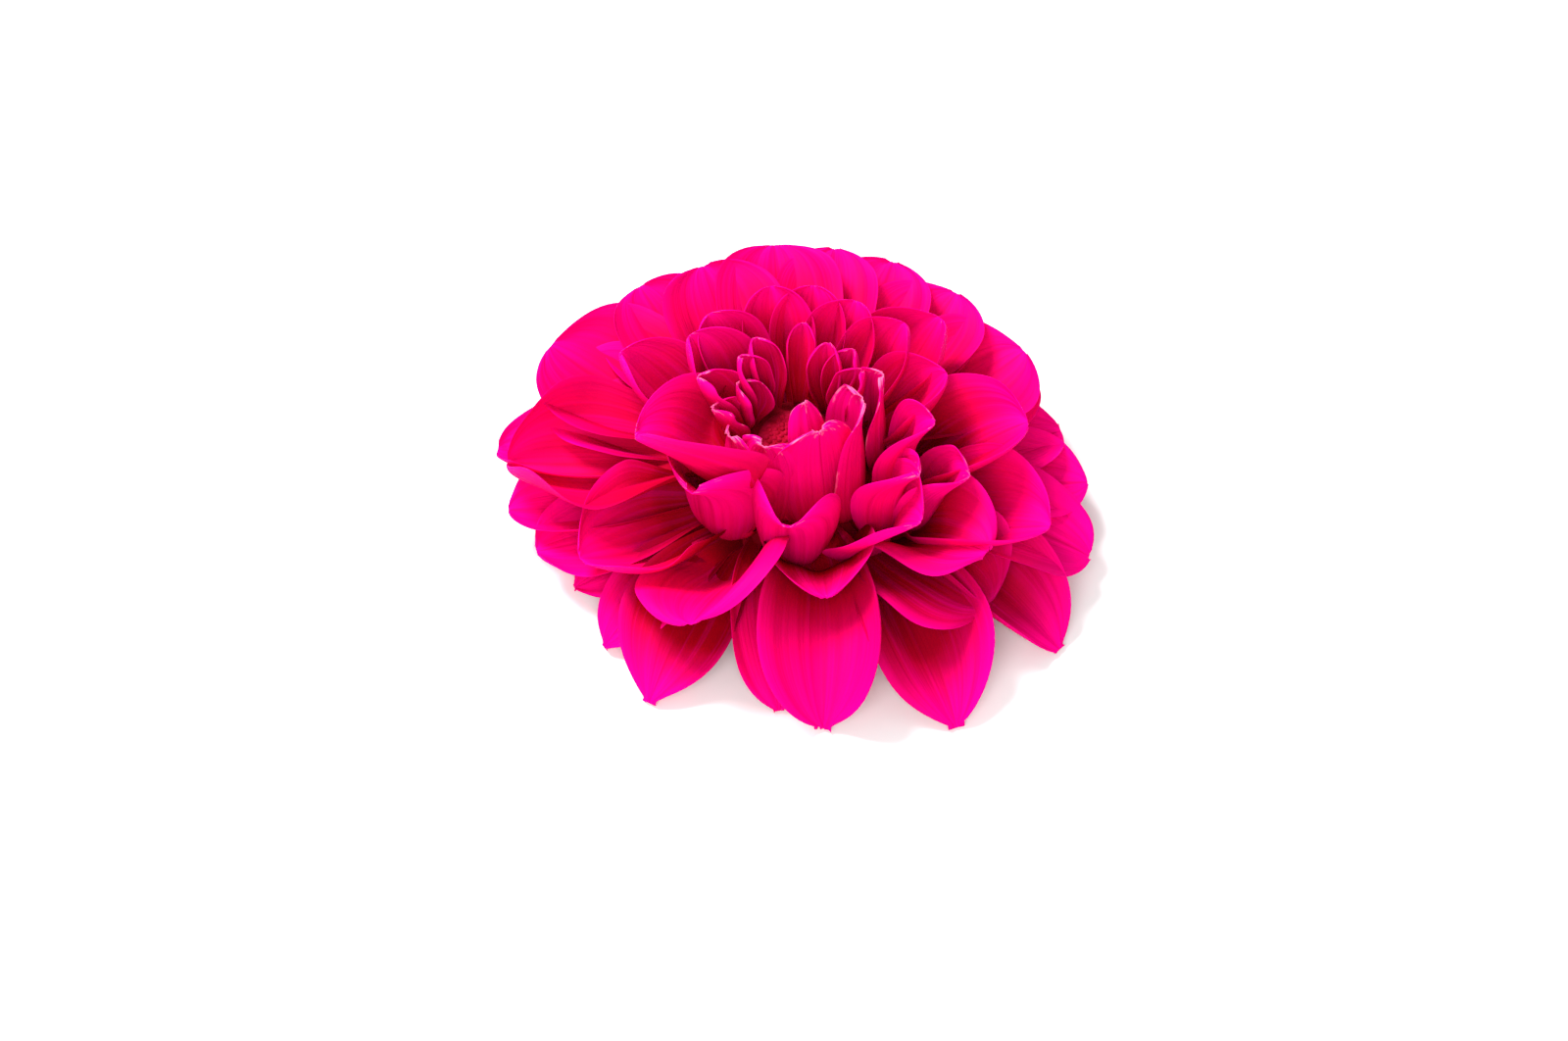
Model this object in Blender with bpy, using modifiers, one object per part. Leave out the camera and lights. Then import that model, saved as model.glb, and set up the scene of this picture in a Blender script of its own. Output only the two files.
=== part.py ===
# Preserved dahlia: one magenta bloom lying face up on its cut neck
#
# Four grown pieces, in metres, +Z up, with the cut face of the neck in the plane z = 0:
#   calyx         green neck, receptacle underside and six reflexed outer bracts
#   inner_bracts  thin pale bracts pressed to the back of the bloom
#   bloom         every ray petal, in eight layers, grown from one receptacle
#   disc          the closed disc florets in the dark eye
#
# Each ray petal is a narrow claw that widens to a cupped blade with a rounded end. Its midline is a
# cubic from its root on the receptacle to its tip, and its cross section is an arc that opens from a
# tube at the root to a scoop or a flat lip. The tips stand where the photograph shows them.

import math

import bmesh
import bpy
from mathutils import Vector

# Driving dimensions

MM = 0.001

GAP = 0.3 * MM
BLADE_THICKNESS = 0.7 * MM
REST_CLEARANCE = 0.5 * MM

NECK_RADIUS = 3.6 * MM
NECK_HEIGHT = 2.6 * MM
CALYX_RADIUS = 8.6 * MM
CALYX_TOP = 4.9 * MM

INNER_BRACT_TOP = CALYX_TOP + GAP + 0.8 * MM

HEART_BOTTOM = INNER_BRACT_TOP + GAP
HEART_TOP = 21.6 * MM
HEART_PROFILE = (
    (0.0, HEART_BOTTOM),
    (8.0 * MM, HEART_BOTTOM),
    (22.0 * MM, HEART_BOTTOM + 1.6 * MM),
    (24.0 * MM, HEART_BOTTOM + 4.0 * MM),
    (23.0 * MM, 13.0 * MM),
    (18.0 * MM, 17.5 * MM),
    (11.5 * MM, 20.5 * MM),
    (10.0 * MM, HEART_TOP),
    (0.0, HEART_TOP),
)
ROOT_DEPTH = 3.0 * MM

DISC_RADIUS = 6.9 * MM
DISC_BOTTOM = HEART_TOP + GAP
DISC_TOP = 23.4 * MM
FLORET_COUNT = 44
FLORET_RADIUS = 0.85 * MM
GOLDEN_ANGLE = math.radians(137.508)

ROUND_SIDES = 28
PETAL_STEPS_ALONG = 4
PETAL_STEPS_ACROSS = 4
BLOOM_TRIANGLES = 11800
CALYX_TRIANGLES = 1100
FLAT_ANGLE = math.radians(1)

# Petal layers
#
# root_radius, root_height: where the petal leaves the receptacle, in mm
# rise, end: slope of the midline at the root and at the tip, in degrees
# width: width of the blade laid flat, in mm
# cup: how far each half of the cross section turns, in degrees, at the root, the middle and the tip
# broad: where along its length the blade is broadest, as a share
# blunt, taper: how square the end is, and how it narrows, 0.5 for a round end and more for a pointed one
# lead, pull: strength of the midline's direction at the root and at the tip
# belly: how far the middle of the midline sags outward, in mm
# lip: how far the last part of the blade flares outward, in mm
# tilt: how far the blade rolls about its midline, in degrees, with its left side up

LAYERS = {
    "drape": dict(
        root_radius=9.5, root_height=7.6, rise=0, end=-30, width=24, cup=(50, 22, 0), broad=0.62,
        blunt=1.9, taper=0.7,
    ),
    "outer": dict(
        root_radius=9.5, root_height=9.5, rise=8, end=5, width=25, cup=(60, 30, 20), broad=0.66,
        blunt=2.4,
    ),
    "scoop": dict(
        root_radius=9.3, root_height=10.0, rise=-15, end=25, width=34, cup=(60, 75, 45), broad=0.66,
        blunt=2.8, pull=1.5, lead=1.5,
    ),
    "shingle": dict(
        root_radius=9.3, root_height=12.5, rise=4, end=28, width=26, cup=(60, 36, 30), broad=0.7,
        blunt=3.0,
    ),
    "cup": dict(
        root_radius=9.0, root_height=15.5, rise=-5, end=50, width=22, cup=(90, 85, 70), broad=0.66,
        blunt=2.8, pull=1.3, lead=1.3,
    ),
    "stand": dict(
        root_radius=9.0, root_height=11.0, rise=-22, end=84, width=24, cup=(60, 85, 70), broad=0.7,
        blunt=2.6, pull=1.7, lead=2.2, lip=3.5,
    ),
    "wall": dict(
        root_radius=9.2, root_height=11.0, rise=-10, end=100, width=19, cup=(60, 75, 45), broad=0.55,
        blunt=2.6, pull=1.2, lead=1.3, lip=1.5,
    ),
    "curl": dict(
        root_radius=9.4, root_height=20.0, rise=70, end=70, width=13, cup=(100, 110, 95), broad=0.6,
        blunt=3.0,
    ),
}

# Petals
#
# layer, azimuth of the tip in degrees (0 to the right, -90 to the front), reach of the tip from the axis
# and height of the tip in mm, then what sets this petal apart from its layer

PETALS = (
    ("drape", -121, 50.5, 0.6, dict(width=24, rise=15, hem_left=30, swing=7, taper=0.85)),
    ("drape", -94, 45, 0.6, dict(end=-60, width=15, rise=24, hem_right=50, cup=(60, 30, -30), swing=20)),
    (
        "drape", -84.5, 49, 0.6,
        dict(end=-62, width=30, rise=26, hem_left=50, cup=(60, 30, 10), crease=24, swing=-8, taper=0.85),
    ),
    (
        "drape", -60, 56, 0.6,
        dict(width=28, hem_left=30, wave=1.0, crease=22, rise=5, swing=-12, taper=0.8),
    ),
    ("drape", -34, 57, 1.0, dict(width=26, hem_right=50, crease=22, swing=-9)),
    ("drape", -138, 46.5, 0.8, dict(end=-40, width=17)),
    ("drape", -156, 44.5, 1.5, dict(width=20)),
    ("drape", 164, 49, 2, {}),
    ("drape", 2, 52, 2, dict(width=26)),
    ("drape", 33, 50, 2, {}),
    ("drape", 60, 49, 2, {}),
    ("drape", 87, 48, 2, {}),
    ("drape", 113, 48, 2, {}),
    ("drape", 139, 49, 2, {}),
    ("outer", 173, 56.3, 11.5, dict(width=24, cup=(80, 60, 60), blunt=3.0)),
    ("outer", -175, 53.5, 7.5, dict(width=25, cup=(60, 50, 50), rise=-5)),
    ("outer", -163, 49.5, 7.5, dict(width=24, rise=-5)),
    ("outer", 157, 50, 15, dict(width=30)),
    ("outer", 131, 51, 14, {}),
    ("outer", 104, 49, 14, {}),
    ("outer", 78, 49, 14, {}),
    ("outer", 52, 49, 15.6, {}),
    ("outer", 27, 51, 13, {}),
    ("outer", 1.5, 54.5, 8.5, dict(width=25)),
    ("outer", -15, 55.5, 6, dict(end=-25, width=25)),
    ("outer", 14.5, 52, 10, {}),
    ("outer", -41, 45, 11.5, dict(width=30, end=-10, cup=(60, 25, 10), blunt=3.4, wave=1.2, swing=4)),
    (
        "scoop", -151, 44, 14,
        dict(width=36, end=30, rise=-5, lead=1.2, root_height=11, tilt=2, blunt=2.1, broad=0.6),
    ),
    (
        "scoop", -114, 43.5, 19,
        dict(width=33, cup=(110, 75, 45), hem_left=-90, hem_right=-60, end=15, tilt=34),
    ),
    (
        "scoop", -81, 34.5, 19,
        dict(width=25, end=60, cup=(80, 70, 40), rise=-20, lead=1.8, lip=5, tilt=6, swing=-8),
    ),
    (
        "scoop", -38, 42, 21.2,
        dict(width=25, end=10, cup=(110, 70, 45), wave=1.8, hem_left=-40, hem_right=-60),
    ),
    ("scoop", -22, 48.5, 19, dict(width=34, cup=(110, 72, 60))),
    ("scoop", 2, 42, 25, dict(width=32, end=30)),
    (
        "shingle", 178, 53.5, 13.5,
        dict(width=35, end=5, cup=(90, 50, 110), root_height=14, rise=8, blunt=2.6, tilt=-12),
    ),
    ("shingle", 31, 51, 18, dict(width=32)),
    ("shingle", 52, 50.6, 20.3, dict(width=27)),
    ("shingle", 68, 51, 21.5, dict(width=25)),
    ("shingle", 81, 49, 24, dict(width=22)),
    ("shingle", 95, 48.5, 25, dict(width=27)),
    ("shingle", 113, 46, 25, {}),
    ("shingle", 127, 50, 22, {}),
    ("shingle", 151, 53.2, 20, dict(width=36)),
    (
        "cup", -165, 29.5, 31.0,
        dict(
            width=41, end=35, cup=(85, 80, 60), broad=0.38, root_height=20, rise=-15, swing=-20,
            lip=1.5, tilt=18,
        ),
    ),
    ("stand", -135, 26, 28.5, dict(width=31, cup=(60, 85, 60), tilt=20, end=75)),
    ("stand", -94, 27, 29.5, dict(width=27, cup=(60, 95, 80), blunt=2.2, tilt=-8)),
    ("stand", -48, 32, 27, dict(width=28, swing=-3, end=55, cup=(60, 75, 50), tilt=22, lip=2)),
    ("stand", -38, 27, 31, dict(width=18)),
    ("stand", -12, 25, 32, dict(width=18)),
    ("stand", -25, 33.5, 28, dict(width=21)),
    ("cup", 19, 29, 29.5, dict(width=24)),
    ("cup", 154, 36, 28.5, dict(width=24, end=50)),
    ("cup", 141, 25, 33, {}),
    ("cup", 126, 27.5, 32, {}),
    ("cup", 99, 30, 32, dict(width=21)),
    ("cup", 84, 31, 31, {}),
    ("cup", 67, 29, 31, dict(width=22)),
    ("cup", 43, 37, 28, dict(width=28, end=50)),
    ("cup", 46, 29, 31, {}),
    ("wall", -69, 11, 35.5, dict(hem_right=-60, cup=(60, 60, 30))),
    ("wall", -14, 12, 36, dict(width=21, swing=28, cup=(60, 65, 35))),
    ("wall", -118, 12.5, 32.5, dict(width=18)),
    ("wall", -152, 13.5, 30, dict(width=18)),
    ("wall", 14, 16, 35, dict(width=16)),
    (
        "wall", -70, 4, 36,
        dict(width=9, rise=70, end=110, cup=(80, 50, 40), blunt=1.9, taper=0.6, root_height=19, lip=0),
    ),
    ("curl", 86, 19, 33, dict(width=11)),
    ("curl", 66, 14, 34, dict(swing=15)),
    ("curl", 50, 16, 33, dict(swing=10)),
    ("curl", 30, 14, 33, dict(swing=10)),
    ("curl", 118, 16, 34, {}),
    ("curl", 137, 14, 34, {}),
    ("curl", 150, 12, 31, dict(swing=-8)),
    ("curl", 163, 18.5, 33, dict(width=15)),
    ("curl", -176, 15, 31.5, dict(width=12)),
)

# Shape that a petal has where its layer and its own row say nothing

PLAIN_PETAL = dict(
    swing=0, crease=6, wave=0, hem_left=0, hem_right=0, lead=1.15, pull=1.15, belly=0, taper=0.5, lip=0,
    tilt=0,
)

CLAW_SHARE = 0.34
LIP_START = 0.7
LIP_DROOP = 0.8
SMALLEST_END_SHARE = 0.12
TIP_CROWDING = 1.15
SECTION_STEPS = 8


# Formulas

def blend(start, end, share):
    return start + (end - start) * share


def ease(share):
    share = min(1.0, max(0.0, share))
    return share * share * (3 - 2 * share)


def radial(angle, radius, height):
    """A point at this angle about the axis."""
    return Vector((radius * math.cos(angle), radius * math.sin(angle), height))


def heading(angle, slope):
    """A unit direction with this bearing and this slope."""
    return Vector((math.cos(slope) * math.cos(angle), math.cos(slope) * math.sin(angle), math.sin(slope)))


def cubic(start, end, leaving, arriving, share):
    """Cubic from start to end that leaves and arrives along two given vectors."""
    square = share * share
    cube = square * share
    return (
        (2 * cube - 3 * square + 1) * start
        + (cube - 2 * square + share) * leaving
        + (3 * square - 2 * cube) * end
        + (cube - square) * arriving
    )


def half_width_share(share, broad, blunt, taper):
    """Outline of a petal: a narrow claw, a broad blade and a rounded or tapered end."""
    if share < broad:
        return blend(CLAW_SHARE, 1.0, ease(share / broad))
    past = (share - broad) / (1 - broad)
    return max(SMALLEST_END_SHARE, max(0.0, 1 - past ** blunt) ** taper)


def heart_depth(point):
    """How far inside the side of the bloom's heart a point lies, measured level; negative outside."""
    for (low_radius, low), (high_radius, high) in zip(HEART_PROFILE, HEART_PROFILE[1:]):
        if low <= point.z < high:
            radius = blend(low_radius, high_radius, (point.z - low) / (high - low))
            return radius - math.hypot(point.x, point.y)
    return -1.0


class Petal:
    """One ray petal, as a surface that is read at a place along it and across it."""

    def __init__(self, layer, azimuth, reach, height, own):
        shape = PLAIN_PETAL | LAYERS[layer] | own
        self.shape = shape
        self.azimuth = math.radians(azimuth)
        self.swing = math.radians(shape["swing"])
        root_angle = self.azimuth - self.swing
        self.root = radial(root_angle, shape["root_radius"] * MM, shape["root_height"] * MM)
        self.tip = radial(self.azimuth, (reach - shape["lip"]) * MM, (height + LIP_DROOP * shape["lip"]) * MM)
        chord = (self.tip - self.root).length
        self.leaving = heading(root_angle, math.radians(shape["rise"])) * chord * shape["lead"]
        self.arriving = heading(self.azimuth + self.swing, math.radians(shape["end"])) * chord * shape["pull"]
        self.start = self.buried_share()

    def midline(self, share):
        point = cubic(self.root, self.tip, self.leaving, self.arriving, share)
        sag = self.shape["belly"] * MM * math.sin(math.pi * min(1.0, max(0.0, share))) ** 1.3
        flare = self.shape["lip"] * MM * max(0.0, (share - LIP_START) / (1 - LIP_START)) ** 2
        return point + radial(self.azimuth, 0.75 * sag + flare, -0.66 * sag - LIP_DROOP * flare)

    def frame(self, share):
        """Directions to the petal's left and out of its upper face."""
        step = 0.01
        along = (self.midline(min(1.0, share + step)) - self.midline(max(0.0, share - step))).normalized()
        bearing = self.azimuth + self.swing * share
        left = Vector((-math.sin(bearing), math.cos(bearing), 0.0))
        upward = along.cross(left).normalized()
        return upward.cross(along).normalized(), upward

    def cup_angle(self, share):
        root, middle, tip = self.shape["cup"]
        if share < 0.55:
            return blend(root, middle, ease(share / 0.55))
        return blend(middle, tip, ease((share - 0.55) / 0.45))

    def section(self, share, across):
        """Sideways and upward travel across the blade, as shares of its half width."""
        shape = self.shape
        hem = shape["hem_left"] if across > 0 else shape["hem_right"]
        opened = ease(share * 2)
        sideways = 0.0
        upward = 0.0
        stride = abs(across) / SECTION_STEPS
        for step in range(SECTION_STEPS):
            place = (step + 0.5) * stride
            turn = self.cup_angle(share) * place
            turn += shape["crease"] * min(1.0, place * 6) * opened
            turn += hem * ease((place - 0.55) / 0.45) * opened
            sideways += math.cos(math.radians(turn)) * stride
            upward += math.sin(math.radians(turn)) * stride
        sideways = math.copysign(sideways, across)
        tilt = math.radians(shape["tilt"]) * opened
        return (
            sideways * math.cos(tilt) - upward * math.sin(tilt),
            sideways * math.sin(tilt) + upward * math.cos(tilt),
        )

    def buried_share(self):
        """Share of the midline at which the petal still lies well inside the heart of the bloom."""
        share = 0.0
        while share < 0.6 and heart_depth(self.midline(share)) > ROOT_DEPTH:
            share += 0.02
        return share

    def point(self, along, across):
        """Point of the blade: along from 0 to 1, across from -1 to 1 with the left side positive."""
        shape = self.shape
        share = blend(self.start, 1.0, math.sin(along * math.pi / 2) ** TIP_CROWDING)
        outline = half_width_share(share, shape["broad"], shape["blunt"], shape["taper"])
        half = shape["width"] * MM / 2 * outline
        sideways, upward = self.section(share, across)
        left, up = self.frame(share)
        phase = 0.0 if across > 0 else 1.7
        ripple = shape["wave"] * MM * math.sin(3.2 * math.pi * share + phase)
        ripple *= across * across * ease(share * 1.6 - 0.3)
        point = self.midline(share) + left * half * sideways + up * (half * upward + ripple)
        point.z = max(point.z, REST_CLEARANCE)
        return point


# Building helpers

def clear_scene():
    for item in list(bpy.data.objects):
        bpy.data.objects.remove(item, do_unlink=True)
    for group in list(bpy.data.collections):
        bpy.data.collections.remove(group)


def new_collection(name):
    group = bpy.data.collections.new(name)
    bpy.context.scene.collection.children.link(group)
    return group


def new_material(name, color, roughness):
    material = bpy.data.materials.new(name)
    material.use_nodes = True
    shader = material.node_tree.nodes["Principled BSDF"]
    shader.inputs["Base Color"].default_value = (*color, 1.0)
    shader.inputs["Roughness"].default_value = roughness
    shader.inputs["Metallic"].default_value = 0.0
    return material


def new_object(name, shape, group, material=None):
    """Makes an object from a bmesh, which is used up."""
    mesh = bpy.data.meshes.new(name)
    shape.to_mesh(mesh)
    shape.free()
    item = bpy.data.objects.new(name, mesh)
    group.objects.link(item)
    if material is not None:
        mesh.materials.append(material)
    return item


def apply_modifiers(item):
    graph = bpy.context.evaluated_depsgraph_get()
    baked = bpy.data.meshes.new_from_object(item.evaluated_get(graph))
    item.modifiers.clear()
    old = item.data
    item.data = baked
    bpy.data.meshes.remove(old)


def add_turned_body(name, profile, group, material=None):
    """A solid of revolution from (radius, height) points that start and end on the axis."""
    mesh = bpy.data.meshes.new(name)
    points = [(radius, 0.0, height) for radius, height in profile]
    mesh.from_pydata(points, [(index, index + 1) for index in range(len(points) - 1)], [])
    item = bpy.data.objects.new(name, mesh)
    group.objects.link(item)
    if material is not None:
        mesh.materials.append(material)
    turn = item.modifiers.new("turn", "SCREW")
    turn.steps = ROUND_SIDES
    turn.render_steps = ROUND_SIDES
    turn.use_merge_vertices = True
    turn.merge_threshold = 0.01 * MM
    turn.use_normal_flip = True
    turn.use_smooth_shade = False
    return item


def add_blade(name, surface, steps_along, steps_across, thickness, group):
    """A thin closed blade on a surface read at (along, across). Both faces get the same triangles."""
    shape = bmesh.new()
    bmesh.ops.create_grid(shape, x_segments=steps_along, y_segments=steps_across, size=0.5)
    for vertex in shape.verts:
        vertex.co = surface(vertex.co.x + 0.5, vertex.co.y * 2)
    bmesh.ops.triangulate(shape, faces=shape.faces)
    item = new_object(name, shape, group)
    skin = item.modifiers.new("thickness", "SOLIDIFY")
    skin.thickness = thickness
    skin.offset = 0.0
    item.modifiers.new("triangles", "TRIANGULATE")
    apply_modifiers(item)
    return item


def fuse(body, repeats):
    """Joins every object of a collection to the body in one union and removes them."""
    union = body.modifiers.new("fuse", "BOOLEAN")
    union.operation = "UNION"
    union.operand_type = "COLLECTION"
    union.collection = repeats
    union.solver = "MANIFOLD"
    apply_modifiers(body)
    for item in list(repeats.objects):
        bpy.data.objects.remove(item, do_unlink=True)
    bpy.data.collections.remove(repeats)


def cut(body, cutter):
    difference = body.modifiers.new("cut", "BOOLEAN")
    difference.operation = "DIFFERENCE"
    difference.object = cutter
    difference.solver = "MANIFOLD"
    apply_modifiers(body)


def keep_main_body(item):
    """Fills hollows that fusing sealed and drops loose scraps, so that one body is left."""
    shape = bmesh.new()
    shape.from_mesh(item.data)
    bmesh.ops.triangulate(shape, faces=shape.faces)
    waiting = set(shape.faces)
    bodies = []
    while waiting:
        front = [waiting.pop()]
        body = list(front)
        while front:
            for edge in front.pop().edges:
                for face in edge.link_faces:
                    if face in waiting:
                        waiting.remove(face)
                        front.append(face)
                        body.append(face)
        bodies.append(body)
    main = max(bodies, key=len)
    others = [face for body in bodies if body is not main for face in body]
    bmesh.ops.delete(shape, geom=others, context="FACES")
    shape.to_mesh(item.data)
    shape.free()


def thin_out(item, triangles):
    """Drops the needless points that cuts leave on nearly flat faces, down to a number of triangles."""
    shape = bmesh.new()
    shape.from_mesh(item.data)
    bmesh.ops.dissolve_limit(shape, angle_limit=FLAT_ANGLE, verts=shape.verts, edges=shape.edges)
    bmesh.ops.triangulate(shape, faces=shape.faces)
    shape.to_mesh(item.data)
    shape.free()
    fewer = item.modifiers.new("fewer", "DECIMATE")
    fewer.decimate_type = "COLLAPSE"
    fewer.ratio = min(1.0, triangles / len(item.data.polygons))
    fewer.use_collapse_triangulate = True
    apply_modifiers(item)


# Scene and materials

clear_scene()
dahlia = new_collection("dahlia")
cutters = new_collection("cutters")

petal_pink = new_material("petal_pink", (0.90, 0.0, 0.24), 0.6)
floret_crimson = new_material("floret_crimson", (0.16, 0.005, 0.02), 0.75)
bract_straw = new_material("bract_straw", (0.42, 0.30, 0.14), 0.8)
calyx_green = new_material("calyx_green", (0.09, 0.16, 0.035), 0.75)


# Calyx: neck, underside of the receptacle and outer bracts

OUTER_BRACT_COUNT = 6
OUTER_BRACT_WIDTH = 8.5 * MM
OUTER_BRACT_THICKNESS = 0.8 * MM
OUTER_BRACT_ROOT = (4.6 * MM, 3.9 * MM)
OUTER_BRACT_TIP = (18.0 * MM, 1.9 * MM)
OUTER_BRACT_ARCH = 0.4 * MM

calyx_profile = (
    (0.0, 0.0),
    (NECK_RADIUS, 0.0),
    (NECK_RADIUS * 0.94, NECK_HEIGHT * 0.6),
    (NECK_RADIUS * 1.12, NECK_HEIGHT),
    (CALYX_RADIUS * 0.82, CALYX_TOP - 1.5 * MM),
    (CALYX_RADIUS, CALYX_TOP - 0.7 * MM),
    (CALYX_RADIUS, CALYX_TOP),
    (0.0, CALYX_TOP),
)
calyx = add_turned_body("calyx", calyx_profile, dahlia, calyx_green)


def bract_surface(angle, root, tip, arch, width, cup):
    """A leaf-shaped blade from a root to a tip, each given as (radius, height)."""
    def surface(along, across):
        radius = blend(root[0], tip[0], along)
        height = blend(root[1], tip[1], along) + arch * math.sin(math.pi * along)
        half = width / 2 * max(0.12, math.sin(math.pi * min(1.0, 0.22 + 0.78 * along)) ** 0.6)
        rise = cup * half * across * across
        outward = Vector((math.cos(angle), math.sin(angle), 0.0))
        left = Vector((-math.sin(angle), math.cos(angle), 0.0))
        return outward * radius + left * half * across + Vector((0.0, 0.0, height + rise))
    return surface


outer_bracts = new_collection("outer_bracts")
for index in range(OUTER_BRACT_COUNT):
    angle = 2 * math.pi * (index + 0.37) / OUTER_BRACT_COUNT
    surface = bract_surface(
        angle, OUTER_BRACT_ROOT, OUTER_BRACT_TIP, OUTER_BRACT_ARCH, OUTER_BRACT_WIDTH, -0.12,
    )
    add_blade("outer_bract", surface, 5, 4, OUTER_BRACT_THICKNESS, outer_bracts)
fuse(calyx, outer_bracts)
keep_main_body(calyx)
thin_out(calyx, CALYX_TRIANGLES)


# Inner bracts: a rosette of thin bracts on a hub between the calyx and the bloom

INNER_BRACT_COUNT = 8
INNER_BRACT_WIDTH = 11.0 * MM
INNER_BRACT_THICKNESS = 0.6 * MM
INNER_BRACT_ROOT = (5.5 * MM, CALYX_TOP + GAP + 0.35 * MM)
INNER_BRACT_TIP = (19.0 * MM, CALYX_TOP + GAP + 0.7 * MM)
INNER_BRACT_ARCH = -0.1 * MM

hub_profile = (
    (0.0, CALYX_TOP + GAP),
    (CALYX_RADIUS, CALYX_TOP + GAP),
    (CALYX_RADIUS, INNER_BRACT_TOP),
    (0.0, INNER_BRACT_TOP),
)
inner_bracts = add_turned_body("inner_bracts", hub_profile, dahlia, bract_straw)
inner_blades = new_collection("inner_blades")
for index in range(INNER_BRACT_COUNT):
    angle = 2 * math.pi * index / INNER_BRACT_COUNT
    surface = bract_surface(
        angle, INNER_BRACT_ROOT, INNER_BRACT_TIP, INNER_BRACT_ARCH, INNER_BRACT_WIDTH, 0.02,
    )
    add_blade("inner_bract", surface, 4, 4, INNER_BRACT_THICKNESS, inner_blades)
fuse(inner_bracts, inner_blades)
keep_main_body(inner_bracts)


# Bloom: every ray petal, sunk in the receptacle and fused

bloom = add_turned_body("bloom", HEART_PROFILE, dahlia, petal_pink)
ray_petals = new_collection("ray_petals")
for layer, azimuth, reach, height, own in PETALS:
    petal = Petal(layer, azimuth, reach, height, own)
    add_blade("ray_petal", petal.point, PETAL_STEPS_ALONG, PETAL_STEPS_ACROSS, BLADE_THICKNESS, ray_petals)
fuse(bloom, ray_petals)

disc_pocket_profile = (
    (0.0, HEART_TOP),
    (DISC_RADIUS + GAP, HEART_TOP),
    (DISC_RADIUS + GAP, DISC_TOP + 2.2 * MM),
    (0.0, DISC_TOP + 2.2 * MM),
)
disc_pocket = add_turned_body("disc_pocket", disc_pocket_profile, cutters)
disc_pocket.display_type = "WIRE"
disc_pocket.hide_render = True
cut(bloom, disc_pocket)
keep_main_body(bloom)
thin_out(bloom, BLOOM_TRIANGLES)


# Disc: closed florets packed on a low dome

disc_profile = (
    (0.0, DISC_BOTTOM),
    (DISC_RADIUS, DISC_BOTTOM),
    (DISC_RADIUS, DISC_BOTTOM + 0.6 * MM),
    (DISC_RADIUS * 0.6, DISC_TOP - 0.4 * MM),
    (0.0, DISC_TOP),
)
disc = add_turned_body("disc", disc_profile, dahlia, floret_crimson)
florets = new_collection("florets")
for index in range(FLORET_COUNT):
    spread = math.sqrt((index + 0.5) / FLORET_COUNT)
    radius = (DISC_RADIUS - FLORET_RADIUS - 0.1 * MM) * spread
    base = radial(index * GOLDEN_ANGLE, radius, DISC_BOTTOM + 0.3 * MM)
    top = DISC_TOP + 0.5 * MM - 0.9 * MM * spread * spread
    shape = bmesh.new()
    bmesh.ops.create_cone(
        shape, cap_ends=True, segments=5, radius1=FLORET_RADIUS, radius2=FLORET_RADIUS * 0.5,
        depth=top - base.z,
    )
    bmesh.ops.translate(shape, verts=shape.verts, vec=Vector((base.x, base.y, (top + base.z) / 2)))
    new_object("floret", shape, florets)
fuse(disc, florets)
keep_main_body(disc)
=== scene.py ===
# %% [markdown]
# # A preserved dahlia, dressed for the camera
# A dahlia head is one flower made of many small ones. Each broad petal is a ray floret, and the dark
# eye holds closed disc florets. This one was dried whole and lies face up on its cut neck. The plain
# solids of the part come first, and the pieces below replace them with finer ones of the same form.

# %% Load the part
import math
import random

import bmesh
import bpy
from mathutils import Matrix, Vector


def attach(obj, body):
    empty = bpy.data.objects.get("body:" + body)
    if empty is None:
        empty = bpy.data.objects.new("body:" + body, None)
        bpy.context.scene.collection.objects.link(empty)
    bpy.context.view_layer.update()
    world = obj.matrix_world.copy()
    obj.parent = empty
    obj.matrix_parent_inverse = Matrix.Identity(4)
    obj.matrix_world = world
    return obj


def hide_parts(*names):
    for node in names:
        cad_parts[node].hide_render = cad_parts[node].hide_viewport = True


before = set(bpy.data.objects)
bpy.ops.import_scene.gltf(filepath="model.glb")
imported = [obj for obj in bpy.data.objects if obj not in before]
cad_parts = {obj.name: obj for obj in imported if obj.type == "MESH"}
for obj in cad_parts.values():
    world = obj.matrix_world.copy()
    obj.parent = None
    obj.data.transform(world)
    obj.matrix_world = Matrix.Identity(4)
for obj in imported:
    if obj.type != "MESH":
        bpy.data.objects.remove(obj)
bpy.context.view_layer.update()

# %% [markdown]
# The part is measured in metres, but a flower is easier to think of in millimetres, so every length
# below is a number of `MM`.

MM = 0.001

# %% [markdown]
# ## Camera
# The photograph looks down on the flower from the front, about 50 degrees above the table. A 50 mm
# lens at 412 mm gives the same mild perspective: front petals a little larger than back ones. The
# camera is turned by aiming its own -Z axis at a point on the table, which is easier to adjust than
# three separate angles.

# %% Camera
CAMERA_ELEVATION = math.radians(50)
CAMERA_DISTANCE = 412 * MM
CAMERA_TARGET = Vector((-2.2, -0.7, 0.0)) * MM

lens = bpy.data.cameras.new("camera")
lens.lens = 50
lens.sensor_width = 36
lens.clip_start = 0.01
camera = bpy.data.objects.new("camera", lens)
toward_camera = Vector((0.0, -math.cos(CAMERA_ELEVATION), math.sin(CAMERA_ELEVATION)))
camera.location = CAMERA_TARGET + toward_camera * CAMERA_DISTANCE
camera.rotation_mode = "QUATERNION"
camera.rotation_quaternion = (-toward_camera).to_track_quat("-Z", "Y")
bpy.context.scene.collection.objects.link(camera)
bpy.context.scene.camera = camera
print("camera at", [round(value, 3) for value in camera.location], "m")
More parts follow.
